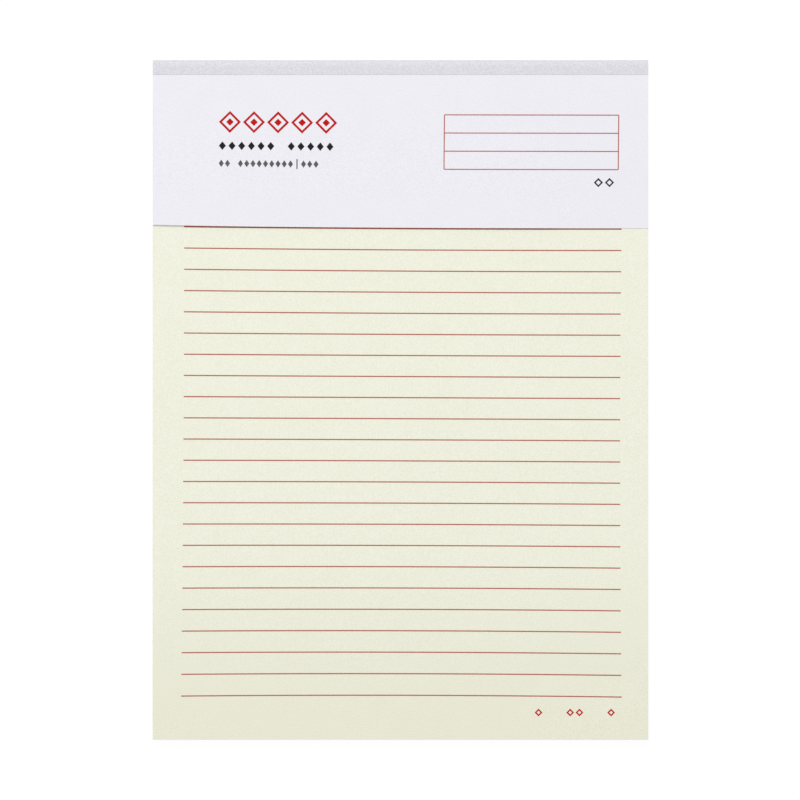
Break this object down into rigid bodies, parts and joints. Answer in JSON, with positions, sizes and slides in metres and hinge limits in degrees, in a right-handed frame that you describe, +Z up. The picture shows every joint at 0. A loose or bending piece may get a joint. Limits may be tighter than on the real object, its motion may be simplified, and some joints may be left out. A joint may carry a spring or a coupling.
{
  "type": "legal pad",
  "caption": "Glued writing pad of ruled cream sheets on a backing board, with a taped head and a short fold-up card cover.",
  "frame": {"origin": "middle of the pad's outline, at the level of the surface that it lies on", "axes": "+Y along the pad's length towards the bound edge, +Z up out of the ruled side, +X to the right across the pad"},
  "size_m": [0.21, 0.288, 0.0044],
  "materials": {
    "sheet_paper": "uncoated cream writing paper",
    "cover_card": "uncoated white card",
    "board": "plain grey board",
    "tape": "light grey fibrous binding tape",
    "glue": "clear milky padding glue",
    "red_ink": "matt red ink printed on paper",
    "rule_ink": "thin, dull red ink printed in fine lines",
    "dark_ink": "matt black ink printed on card",
    "grey_ink": "matt grey ink printed on card"
  },
  "bodies": {
    "pad": {"backing_board": "board", "ruled_sheets": "sheet_paper", "binding_glue": "glue", "binding_tape": "tape", "cover_margin": "cover_card", "page_ruling": "rule_ink", "foot_marks": "red_ink"},
    "cover": {"cover_flap": "cover_card", "cover_title": "red_ink", "cover_subtitle": "dark_ink", "cover_detail": "grey_ink", "cover_sample": "rule_ink", "cover_caption": "dark_ink"}
  },
  "joints": [
    {"name": "cover_hinge", "type": "hinge", "parent": "pad", "child": "cover", "pos_m": [0, 0.1379, 0.00438], "axis": [-1, 0, 0], "range_deg": [0, 180]}
  ]
}
